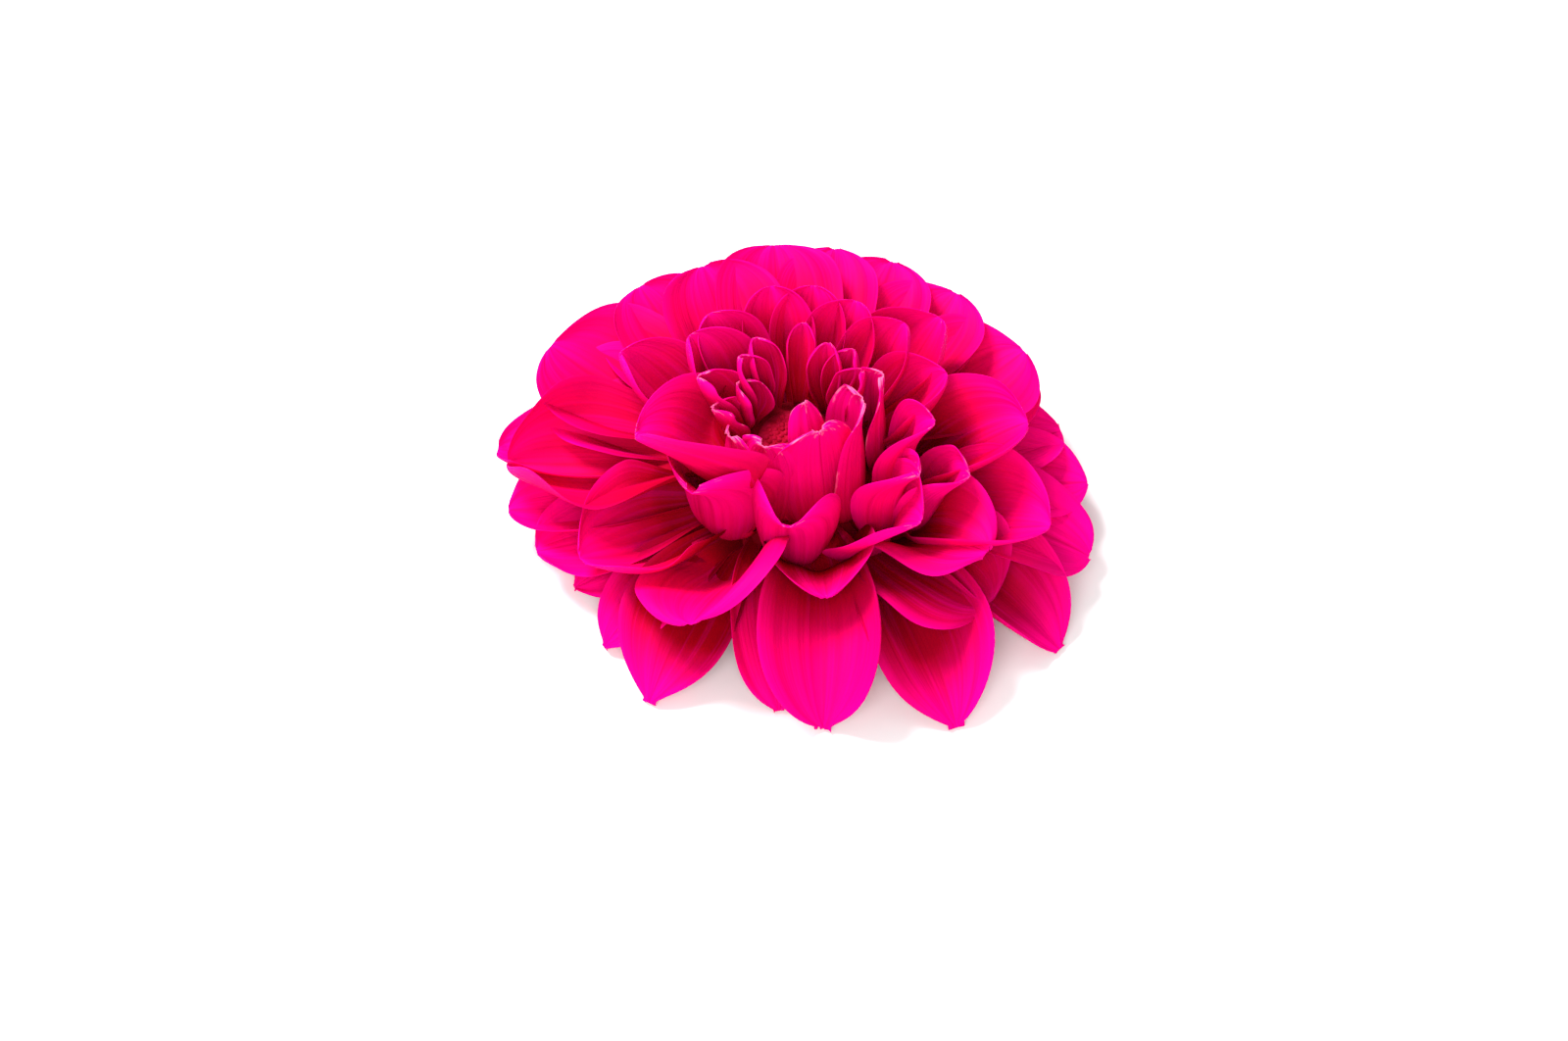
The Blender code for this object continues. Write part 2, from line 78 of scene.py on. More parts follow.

# %% [markdown]
# ## Table and light
# The flower lies on plain white, lit softly from all round, so the table is a big matt plane and most
# of the light is a white sky. The stronger lamp stands high behind the flower's left side, which lights
# the rims from above and lets some light through the thin petals. A wider and weaker one over the
# viewer's head opens the front. The table isn't part of the flower.

# %% Table and light
AIM = Vector((0, 0, 20)) * MM
TABLE_SIZE = 2.0
TABLE_WHITE = (0.86, 0.86, 0.86, 1.0)
SKY_WHITE = (1.0, 1.0, 1.0, 1.0)
SKY_STRENGTH = 0.62


def add_lamp(name, place, size, power):
    """A round soft lamp that shines on the middle of the flower."""
    lamp = bpy.data.lights.new(name, "AREA")
    lamp.shape = "DISK"
    lamp.size = size
    lamp.energy = power
    holder = bpy.data.objects.new(name, lamp)
    holder.location = place
    holder.rotation_mode = "QUATERNION"
    holder.rotation_quaternion = (AIM - Vector(place)).to_track_quat("-Z", "Y")
    bpy.context.scene.collection.objects.link(holder)


def add_table():
    surface = bmesh.new()
    bmesh.ops.create_grid(surface, x_segments=1, y_segments=1, size=TABLE_SIZE)
    mesh = bpy.data.meshes.new("table")
    surface.to_mesh(mesh)
    surface.free()
    table = bpy.data.objects.new("table", mesh)
    bpy.context.scene.collection.objects.link(table)
    material = bpy.data.materials.new("table_white")
    material.use_nodes = True
    shader = material.node_tree.nodes["Principled BSDF"]
    shader.inputs["Base Color"].default_value = TABLE_WHITE
    shader.inputs["Roughness"].default_value = 0.9
    shader.inputs["Specular IOR Level"].default_value = 0.2
    mesh.materials.append(material)


sky = bpy.data.worlds.new("white_sky")
bpy.context.scene.world = sky
sky.use_nodes = True
sky.node_tree.nodes["Background"].inputs["Color"].default_value = SKY_WHITE
sky.node_tree.nodes["Background"].inputs["Strength"].default_value = SKY_STRENGTH
add_lamp("front_lamp", (-0.06, -0.46, 0.38), 0.40, 3.0)
add_lamp("back_lamp", (-0.24, 0.16, 0.50), 0.25, 6.0)
add_table()
bpy.context.scene.view_settings.view_transform = "Standard"
print("table and", len(bpy.data.lights), "lamps")

# %% [markdown]
# ## How a petal is described
# A real ray petal is a narrow claw at the receptacle that widens to a cupped blade with a rounded
# end. Modelling some seventy of them by hand would never match, so one recipe makes them all. Its
# midline is a curve from root to tip, its outline says how wide it is at each place, and its cross
# section is an arc that opens along the way. A layer sets the habit of its petals, and each petal adds
# where its tip stands: bearing, reach and height. These are the same numbers as in the solids.

# %% Petal layers
# root_radius, root_height: where the petal leaves the receptacle, in mm
# rise, end: slope of the midline at the root and at the tip, in degrees
# width: width of the blade laid flat, in mm
# cup: how far each half of the cross section turns, in degrees, at the root, the middle and the tip
# broad: where along its length the blade is broadest, as a share
# blunt, taper: how square the end is, and how it narrows (0.5 gives a round end, more a pointed one)
# lead, pull: strength of the midline's direction at the root and at the tip
# lip: how far the last part of the blade flares outward, in mm
LAYERS = {
    "drape": dict(
        root_radius=9.5, root_height=7.6, rise=0, end=-30, width=24, cup=(50, 22, 0), broad=0.62,
        blunt=1.9, taper=0.7,
    ),
    "outer": dict(
        root_radius=9.5, root_height=9.5, rise=8, end=5, width=25, cup=(60, 30, 20), broad=0.66,
        blunt=2.4,
    ),
    "scoop": dict(
        root_radius=9.3, root_height=10.0, rise=-15, end=25, width=34, cup=(60, 75, 45), broad=0.66,
        blunt=2.8, pull=1.5, lead=1.5,
    ),
    "shingle": dict(
        root_radius=9.3, root_height=12.5, rise=4, end=28, width=26, cup=(60, 36, 30), broad=0.7,
        blunt=3.0,
    ),
    "cup": dict(
        root_radius=9.0, root_height=15.5, rise=-5, end=50, width=22, cup=(90, 85, 70), broad=0.66,
        blunt=2.8, pull=1.3, lead=1.3,
    ),
    "stand": dict(
        root_radius=9.0, root_height=11.0, rise=-22, end=84, width=24, cup=(60, 85, 70), broad=0.7,
        blunt=2.6, pull=1.7, lead=2.2, lip=3.5,
    ),
    "wall": dict(
        root_radius=9.2, root_height=11.0, rise=-10, end=100, width=19, cup=(60, 75, 45), broad=0.55,
        blunt=2.6, pull=1.2, lead=1.3, lip=1.5,
    ),
    "curl": dict(
        root_radius=9.4, root_height=20.0, rise=70, end=70, width=13, cup=(100, 110, 95), broad=0.6,
        blunt=3.0,
    ),
}
print(len(LAYERS), "layers of petals")

# %% [markdown]
# Each row below is one petal. The bearings, reaches and heights of the tips were read off the
# photograph, and the last column says what is special about that petal.

# %% Petals
# Layer, then azimuth of the tip in degrees (0 to the right, -90 to the front), its reach from the axis
# and its height, both in mm, then what sets this petal apart from its layer. Further names in it:
# swing: how far the petal's root lies off the tip's azimuth, in degrees, which bends it sideways
# hem_left, hem_right: how far the outer part of a margin turns, in degrees, inward or out (less than 0)
# crease: how far each half turns up beside the midrib, in degrees
# wave: height of the margins' waves, in mm
# tilt: how far the blade rolls about its midline, in degrees, with its left side up
PETALS = (
    ("drape", -121, 50.5, 0.6, dict(width=24, rise=15, hem_left=30, swing=7, taper=0.85)),
    (
        "drape", -94, 45, 0.6,
        dict(end=-60, width=15, rise=24, hem_right=50, cup=(60, 30, -30), swing=20),
    ),
    (
        "drape", -84.5, 49, 0.6,
        dict(
            end=-62, width=30, rise=26, hem_left=50, cup=(60, 30, 10), crease=24, swing=-8,
            taper=0.85,
        ),
    ),
    (
        "drape", -60, 56, 0.6,
        dict(width=28, hem_left=30, wave=1.0, crease=22, rise=5, swing=-12, taper=0.8),
    ),
    ("drape", -34, 57, 1.0, dict(width=26, hem_right=50, crease=22, swing=-9)),
    ("drape", -138, 46.5, 0.8, dict(end=-40, width=17)),
    ("drape", -156, 44.5, 1.5, dict(width=20)),
    ("drape", 164, 49, 2, {}),
    ("drape", 2, 52, 2, dict(width=26)),
    ("drape", 33, 50, 2, {}),
    ("drape", 60, 49, 2, {}),
    ("drape", 87, 48, 2, {}),
    ("drape", 113, 48, 2, {}),
    ("drape", 139, 49, 2, {}),
    ("outer", 173, 56.3, 11.5, dict(width=24, cup=(80, 60, 60), blunt=3.0)),
    ("outer", -175, 53.5, 7.5, dict(width=25, cup=(60, 50, 50), rise=-5)),
    ("outer", -163, 49.5, 7.5, dict(width=24, rise=-5)),
    ("outer", 157, 50, 15, dict(width=30)),
    ("outer", 131, 51, 14, {}),
    ("outer", 104, 49, 14, {}),
    ("outer", 78, 49, 14, {}),
    ("outer", 52, 49, 15.6, {}),
    ("outer", 27, 51, 13, {}),
    ("outer", 1.5, 54.5, 8.5, dict(width=25)),
    ("outer", -15, 55.5, 6, dict(end=-25, width=25)),
    ("outer", 14.5, 52, 10, {}),
    (
        "outer", -41, 45, 11.5,
        dict(width=30, end=-10, cup=(60, 25, 10), blunt=3.4, wave=1.2, swing=4),
    ),
    (
        "scoop", -151, 44, 14,
        dict(width=36, end=30, rise=-5, lead=1.2, root_height=11, tilt=2, blunt=2.1, broad=0.6),
    ),
    (
        "scoop", -114, 43.5, 19,
        dict(width=33, cup=(110, 75, 45), hem_left=-90, hem_right=-60, end=15, tilt=34),
    ),
    (
        "scoop", -81, 34.5, 19,
        dict(width=25, end=60, cup=(80, 70, 40), rise=-20, lead=1.8, lip=5, tilt=6, swing=-8),
    ),
    (
        "scoop", -38, 42, 21.2,
        dict(width=25, end=10, cup=(110, 70, 45), wave=1.8, hem_left=-40, hem_right=-60),
    ),
    ("scoop", -22, 48.5, 19, dict(width=34, cup=(110, 72, 60))),
    ("scoop", 2, 42, 25, dict(width=32, end=30)),
    (
        "shingle", 178, 53.5, 13.5,
        dict(width=35, end=5, cup=(90, 50, 110), root_height=14, rise=8, blunt=2.6, tilt=-12),
    ),
    ("shingle", 31, 51, 18, dict(width=32)),
    ("shingle", 52, 50.6, 20.3, dict(width=27)),
    ("shingle", 68, 51, 21.5, dict(width=25)),
    ("shingle", 81, 49, 24, dict(width=22)),
    ("shingle", 95, 48.5, 25, dict(width=27)),
    ("shingle", 113, 46, 25, {}),
    ("shingle", 127, 50, 22, {}),
    ("shingle", 151, 53.2, 20, dict(width=36)),
    (
        "cup", -165, 29.5, 31.0,
        dict(
            width=41, end=35, cup=(85, 80, 60), broad=0.38, root_height=20, rise=-15, swing=-20,
            lip=1.5, tilt=18,
        ),
    ),
    ("stand", -135, 26, 28.5, dict(width=31, cup=(60, 85, 60), tilt=20, end=75)),
    ("stand", -94, 27, 29.5, dict(width=27, cup=(60, 95, 80), blunt=2.2, tilt=-8)),
    ("stand", -48, 32, 27, dict(width=28, swing=-3, end=55, cup=(60, 75, 50), tilt=22, lip=2)),
    ("stand", -38, 27, 31, dict(width=18)),
    ("stand", -12, 25, 32, dict(width=18)),
    ("stand", -25, 33.5, 28, dict(width=21)),
    ("cup", 19, 29, 29.5, dict(width=24)),
    ("cup", 154, 36, 28.5, dict(width=24, end=50)),
    ("cup", 141, 25, 33, {}),
    ("cup", 126, 27.5, 32, {}),
    ("cup", 99, 30, 32, dict(width=21)),
    ("cup", 84, 31, 31, {}),
    ("cup", 67, 29, 31, dict(width=22)),
    ("cup", 43, 37, 28, dict(width=28, end=50)),
    ("cup", 46, 29, 31, {}),
    ("wall", -69, 11, 35.5, dict(hem_right=-60, cup=(60, 60, 30))),
    ("wall", -14, 12, 36, dict(width=21, swing=28, cup=(60, 65, 35))),
    ("wall", -118, 12.5, 32.5, dict(width=18)),
    ("wall", -152, 13.5, 30, dict(width=18)),
    ("wall", 14, 16, 35, dict(width=16)),
    (
        "wall", -70, 4, 36,
        dict(width=9, rise=70, end=110, cup=(80, 50, 40), blunt=1.9, taper=0.6, root_height=19, lip=0),
    ),
    ("curl", 86, 19, 33, dict(width=11)),
    ("curl", 66, 14, 34, dict(swing=15)),
    ("curl", 50, 16, 33, dict(swing=10)),
    ("curl", 30, 14, 33, dict(swing=10)),
    ("curl", 118, 16, 34, {}),
    ("curl", 137, 14, 34, {}),
    ("curl", 150, 12, 31, dict(swing=-8)),
    ("curl", 163, 18.5, 33, dict(width=15)),
    ("curl", -176, 15, 31.5, dict(width=12)),
)
print(len(PETALS), "petals")

# %% [markdown]
# Small helpers carry the curves. Easing with `3s² - 2s³` gives a change that starts and stops softly,
# which is how plants grow: nothing on a petal has a corner unless it tore.

# %% Curve helpers
CLAW_SHARE = 0.34
SMALLEST_END_SHARE = 0.12


def blend(start, end, share):
    return start + (end - start) * share


def ease(share):
    share = min(1.0, max(0.0, share))
    return share * share * (3 - 2 * share)


def radial(angle, radius, height):
    """A point at this angle about the axis."""
    return Vector((radius * math.cos(angle), radius * math.sin(angle), height))


def heading(angle, slope):
    """A unit direction with this bearing and this slope."""
    return radial(angle, math.cos(slope), math.sin(slope))


def cubic(start, end, leaving, arriving, share):
    """Cubic from start to end that leaves and arrives along two given vectors."""
    square = share * share
    cube = square * share
    return (
        (2 * cube - 3 * square + 1) * start
        + (cube - 2 * square + share) * leaving
        + (3 * square - 2 * cube) * end
        + (cube - square) * arriving
    )


def half_width_share(share, broad, blunt, taper):
    """Outline of a petal: a narrow claw, a broad blade and a rounded or tapered end."""
    if share < broad:
        return blend(CLAW_SHARE, 1.0, ease(share / broad))
    past = (share - broad) / (1 - broad)
    return max(SMALLEST_END_SHARE, max(0.0, 1 - past ** blunt) ** taper)


print("a claw is", round(half_width_share(0.0, 0.66, 2.4, 0.5), 2), "as wide as its blade")

# %% [markdown]
# ## The petal surface
# `Petal.point` reads the surface at a place along the petal and across it. The section turns a
# little with each small stride away from the midline, so a large turn makes a tube and a small one a
# scoop. A hem turns only the outer part of one margin, which rolls it in or out. Rows of faces crowd
# together towards the tip, where the outline turns fastest. No petal reaches below `REST_CLEARANCE`,
# so that the flower rests on its neck as the solids do.

# %% The petal surface
# the shape of a petal where its layer and its own row say nothing
PLAIN_PETAL = dict(
    swing=0, crease=6, wave=0, hem_left=0, hem_right=0, lead=1.15, pull=1.15, taper=0.5, lip=0, tilt=0,
)
REST_CLEARANCE = 0.5 * MM
LIP_START = 0.7
LIP_DROOP = 0.8
CUP_MIDDLE = 0.55
HEM_START = 0.55
CREASE_STEEPNESS = 6
WAVE_PACE = 3.2 * math.pi
WAVE_OFFSET = 1.7
MIDLINE_STEP = 0.01
SECTION_STEPS = 8
TIP_CROWDING = 1.15


class Petal:
    """One ray petal, as a surface that is read at a place along it and across it."""

    def __init__(self, layer, azimuth, reach, height, own):
        shape = PLAIN_PETAL | LAYERS[layer] | own
        self.shape = shape
        self.azimuth = math.radians(azimuth)
        self.swing = math.radians(shape["swing"])
        lip = shape["lip"]
        from_root = self.azimuth - self.swing
        to_tip = self.azimuth + self.swing
        self.root = radial(from_root, shape["root_radius"] * MM, shape["root_height"] * MM)
        self.tip = radial(self.azimuth, (reach - lip) * MM, (height + LIP_DROOP * lip) * MM)
        chord = (self.tip - self.root).length
        self.leaving = heading(from_root, math.radians(shape["rise"])) * chord * shape["lead"]
        self.arriving = heading(to_tip, math.radians(shape["end"])) * chord * shape["pull"]

    def midline(self, share):
        point = cubic(self.root, self.tip, self.leaving, self.arriving, share)
        flare = self.shape["lip"] * MM * max(0.0, (share - LIP_START) / (1 - LIP_START)) ** 2
        return point + radial(self.azimuth, flare, -LIP_DROOP * flare)

    def frame(self, share):
        """Unit directions to the petal's left and out of its upper face."""
        after = self.midline(min(1.0, share + MIDLINE_STEP))
        before = self.midline(max(0.0, share - MIDLINE_STEP))
        along = (after - before).normalized()
        bearing = self.azimuth + self.swing * share
        left = Vector((-math.sin(bearing), math.cos(bearing), 0.0))
        upward = along.cross(left).normalized()
        return upward.cross(along).normalized(), upward

    def cup_angle(self, share):
        root, middle, tip = self.shape["cup"]
        if share < CUP_MIDDLE:
            return blend(root, middle, ease(share / CUP_MIDDLE))
        return blend(middle, tip, ease((share - CUP_MIDDLE) / (1 - CUP_MIDDLE)))

    def section(self, share, across):
        """Sideways and upward travel across the blade, as shares of its half width."""
        shape = self.shape
        hem = shape["hem_left"] if across > 0 else shape["hem_right"]
        opened = ease(share * 2)
        sideways = 0.0
        upward = 0.0
        stride = abs(across) / SECTION_STEPS
        for step in range(SECTION_STEPS):
            place = (step + 0.5) * stride
            turn = self.cup_angle(share) * place
            turn += shape["crease"] * min(1.0, place * CREASE_STEEPNESS) * opened
            turn += hem * ease((place - HEM_START) / (1 - HEM_START)) * opened
            sideways += math.cos(math.radians(turn)) * stride
            upward += math.sin(math.radians(turn)) * stride
        sideways = math.copysign(sideways, across)
        tilt = math.radians(shape["tilt"]) * opened
        return (
            sideways * math.cos(tilt) - upward * math.sin(tilt),
            sideways * math.sin(tilt) + upward * math.cos(tilt),
        )

    def point(self, along, across, lift):
        """Point of the sheet: along from 0 to 1, across from -1 to 1, lifted off the plain surface."""
        shape = self.shape
        share = math.sin(along * math.pi / 2) ** TIP_CROWDING
        outline = half_width_share(share, shape["broad"], shape["blunt"], shape["taper"])
        half = shape["width"] * MM / 2 * outline
        sideways, upward = self.section(share, across)
        left, up = self.frame(share)
        phase = 0.0 if across > 0 else WAVE_OFFSET
        wave = shape["wave"] * MM * math.sin(WAVE_PACE * share + phase)
        wave *= across * across * ease(share * 1.6 - 0.3)
        point = self.midline(share) + left * half * sideways + up * (half * upward + wave + lift)
        point.z = max(point.z, REST_CLEARANCE)
        return point


print("longest reach of a tip", max(row[2] for row in PETALS), "mm")

# %% [markdown]
# ## What drying and handling add
# The solids keep to the plain form. Here each petal gets the small things that make it real: a
# notched end, margins that ripple a little, and shallow folds that run along it. Each petal draws its
# own numbers from a seeded generator, so the flower is the same on every run. Four ends are torn where
# the photograph shows it. Each tear is a place across the petal, half its width and the share of the
# petal's length that is gone.

# %% Notches, ripples and folds
NOTCH_DEPTH = 0.028
DEEPEST_NOTCH = 1.2
NOTCH_COUNT = 3
NOTCH_PLACES = (-0.6, 0.6)
NOTCH_WIDTHS = (0.07, 0.2)
NOTCH_STRENGTHS = (0.1, 1.0)
RIPPLE_HEIGHT = 0.85 * MM
RIPPLE_PACES = (9, 15)
FOLD_HEIGHT = 0.22 * MM
FOLD_COUNTS = (9, 13)
PHASES = (0, 6.3)
FIRST_SEED = 1000
TORN_ENDS = {
    ("drape", -84.5): ((-0.5, 0.22, 0.09), (0.05, 0.10, 0.03)),
    ("scoop", -38): ((0.55, 0.18, 0.07), (0.25, 0.12, 0.04)),
    ("shingle", 81): ((0.0, 0.12, 0.05),),
    ("drape", -121): ((-0.2, 0.15, 0.03),),
}


class Character:
    """The chance details of one petal."""

    def __init__(self, number, name):
        self.torn = TORN_ENDS.get(name, ())
        draw = random.Random(FIRST_SEED + number)
        self.tint = draw.random()
        self.notches = [
            (draw.uniform(*NOTCH_PLACES), draw.uniform(*NOTCH_WIDTHS), draw.uniform(*NOTCH_STRENGTHS))
            for _ in range(NOTCH_COUNT)
        ]
        self.ripple_phase = (draw.uniform(*PHASES), draw.uniform(*PHASES))
        self.ripple_pace = (draw.uniform(*RIPPLE_PACES), draw.uniform(*RIPPLE_PACES))
        self.fold_phase = draw.uniform(*PHASES)
        self.fold_count = draw.uniform(*FOLD_COUNTS)

    def notch(self, across):
        """Share of the length that is missing at this place of the end."""
        depth = 0.0
        torn = 0.0
        for place, width, strength in self.notches:
            depth += strength * max(0.0, 1 - abs(across - place) / width) ** 1.5
        for place, width, loss in self.torn:
            torn += loss * ease(1.6 * (1 - abs(across - place) / width))
        return NOTCH_DEPTH * min(DEEPEST_NOTCH, depth) + torn

    def lift(self, along, across):
        """Height of ripples and folds over the plain surface."""
        side = 0 if across > 0 else 1
        edge = abs(across) ** 3 * ease(along * 1.5 - 0.3)
        turn = self.ripple_pace[side] * along + self.ripple_phase[side]
        ripple = RIPPLE_HEIGHT * edge * math.sin(turn)
        spread = ease(along * 2.5) * (1 - 0.6 * ease(along * 2 - 1))
        fold = FOLD_HEIGHT * spread * math.cos(self.fold_count * across + self.fold_phase)
        return ripple + fold


print("end notches take up to", round(NOTCH_DEPTH * DEEPEST_NOTCH * 100, 1), "% of a petal's length")

# %% [markdown]
# ## How deep a place lies
# In the photograph the exposed ends are magenta and everything between the petals is crimson, because
# light that bounces from petal to petal loses its blue. Path tracing gives part of that. The rest
# is painted: each point of a petal knows how far it lies below the outline of the head, and that
# number is kept on the mesh as an attribute for the material. `cover` is how far from the axis other
# petals lie over this one, in mm. Light reaches everything beyond it.

# %% Depth under the outline of the head
# (radius, height) in mm
HEAD_OUTLINE = ((0, 35), (14, 37), (20, 34), (27, 31), (35, 28), (42, 24), (48, 19), (52, 13), (57, 4))
DEPTH_SPAN = 16 * MM
COVERED_FADE = 12 * MM


def head_height(radius):
    for (near, high), (far, low) in zip(HEAD_OUTLINE, HEAD_OUTLINE[1:]):
        if radius <= far * MM:
            return blend(high, low, (radius / MM - near) / (far - near)) * MM
    return 0.0


def depth_share(point, cover):
    radius = math.hypot(point.x, point.y)
    below = head_height(radius) - point.z
    covered = ease((cover * MM - radius) / COVERED_FADE)
    return covered * min(1.0, max(0.0, below / DEPTH_SPAN))


print("the outline of the head is", round(head_height(0) / MM, 1), "mm high over the eye")

# %% [markdown]
# ## From surface to mesh
# `bmesh.ops.create_grid` makes a flat sheet, and every point of it is moved onto the petal. That keeps
# neat rows of faces, which shade smoothly, and the sheet's own coordinates become the UV map that the
# material draws its veins on. All petals of a layer go into one mesh. A Solidify modifier then gives
# them the thickness of a dry petal, which a vertex group thins towards the margin. Its narrow rim faces
# would round off the shading there, so the normals are weighted by area.

# %% Sheets with a thickness
TIP_START = 0.86
MARGIN_START = 0.8
MARGIN_THINNING = 0.65


def petal_sheet(petal, character, wear, shade, cover, steps_along, steps_across):
    """One petal as a bmesh sheet with its UV map and attributes."""
    sheet = bmesh.new()
    bmesh.ops.create_grid(sheet, x_segments=steps_along, y_segments=steps_across, size=0.5)
    depth = sheet.verts.layers.float.new("depth")
    tint = sheet.verts.layers.float.new("tint")
    worn = sheet.verts.layers.float.new("worn")
    blade = sheet.verts.layers.deform.verify()
    uv = sheet.loops.layers.uv.new("petal")
    for face in sheet.faces:
        for corner in face.loops:
            corner[uv].uv = (corner.vert.co.y + 0.5, corner.vert.co.x + 0.5)
    for vertex in sheet.verts:
        along = vertex.co.x + 0.5
        across = vertex.co.y * 2
        missing = character.notch(across) * ease((along - TIP_START) / (1 - TIP_START))
        vertex.co = petal.point(along - missing, across, character.lift(along, across))
        # painted shade: how far this point lies under the head's outline, scaled by the petal's shade
        vertex[depth] = depth_share(vertex.co, cover) * shade
        vertex[tint] = character.tint
        vertex[worn] = wear
        near_margin = ease((max(abs(across), 2 * along - 1) - MARGIN_START) / (1 - MARGIN_START))
        vertex[blade][0] = 1 - MARGIN_THINNING * near_margin
    bmesh.ops.recalc_face_normals(sheet, faces=sheet.faces)
    return sheet


def add_sheet(joined, sheet):
    """Moves a sheet into the joined ones, through a mesh that is deleted again."""
    single = bpy.data.meshes.new("single")
    sheet.to_mesh(single)
    sheet.free()
    joined.from_mesh(single)
    bpy.data.meshes.remove(single)


def link_piece(name, mesh, material, node):
    """Puts a finished mesh in the scene, in place of a node of the part."""
    piece = bpy.data.objects.new(name, mesh)
    bpy.context.scene.collection.objects.link(piece)
    mesh.materials.append(material)
    mesh.shade_smooth()
    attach(piece, "root")
    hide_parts(node)
    return piece


def thicken(piece, thickness):
    """Gives a sheet its thickness, half to each side, and keeps its shading smooth up to the rim."""
    skin = piece.modifiers.new("thickness", "SOLIDIFY")
    skin.thickness = thickness
    skin.offset = 0.0
    skin.use_rim = True
    shading = piece.modifiers.new("shading", "WEIGHTED_NORMAL")
    shading.mode = "FACE_AREA"
    shading.weight = 100
    return skin


print("margins are", round((1 - MARGIN_THINNING) * 100), "% as thick as the blade")

# %% [markdown]
# ## Petal skin
# Dry dahlia petals are satin, not glossy, and thin enough to glow against the light. Fine veins run
# from root to tip, the margin is a pale line, and the innermost tips are rubbed whitish. The marks
# are a node group, so that outer and inner petals share them with different strengths. It reads the
# petal's UV map, where u goes across and v along, and stretches noise along v to get veins. The two
# lists below say how fast each noise changes, and where each mark starts and how steeply it rises.

# %% Marks on a petal
# how fast a noise changes across and along the petal, and its detail
FINE_VEINS = (46.0, 1.6, 2.0)
BROAD_FOLDS = (11.0, 0.9, 1.0)
WEAR_PATCHES = (15.0, 9.0, 4.0)
WEAR_FLECKS = (26.0, 7.0, 4.0)
STREAK_ROUGHNESS = 0.55
TINT_SHIFT = 37.0
# where a mark starts, off the middle (0 to 0.5) or along the petal (0 to 1), and how steeply it rises
CLAW_END = (0.25, 3.0)
SIDE_LINE = (0.486, 90.0)
END_LINE = (0.985, 80.0)
SOFT_SIDE = (0.38, 8.0)
SOFT_END = (0.85, 6.5)
LINE_BREAKS = (0.40, 5.0)
EXPOSED_SIDE = (0.40, 3.0)
EXPOSED_END = (0.80, 1.6)
EXPOSED_TIP = (0.70, 0.9)
RIB_STEEPNESS = 45.0
RIM_WEAR_LIMIT = 1.39
FLECK_LIMIT = 1.10


def add_socket(group, name, in_out, value=None):
    socket = group.interface.new_socket(name=name, in_out=in_out, socket_type="NodeSocketFloat")
    if value is not None:
        socket.default_value = value


def math_node(nodes, links, operation, first, second=None, clamp=False):
    """A Math node whose inputs are numbers or other nodes' sockets."""
    node = nodes.new("ShaderNodeMath")
    node.operation = operation
    node.use_clamp = clamp
    for place, value in enumerate((first, second)):
        if value is None:
            continue
        if isinstance(value, (int, float)):
            node.inputs[place].default_value = value
        else:
            links.new(value, node.inputs[place])
    return node.outputs[0]


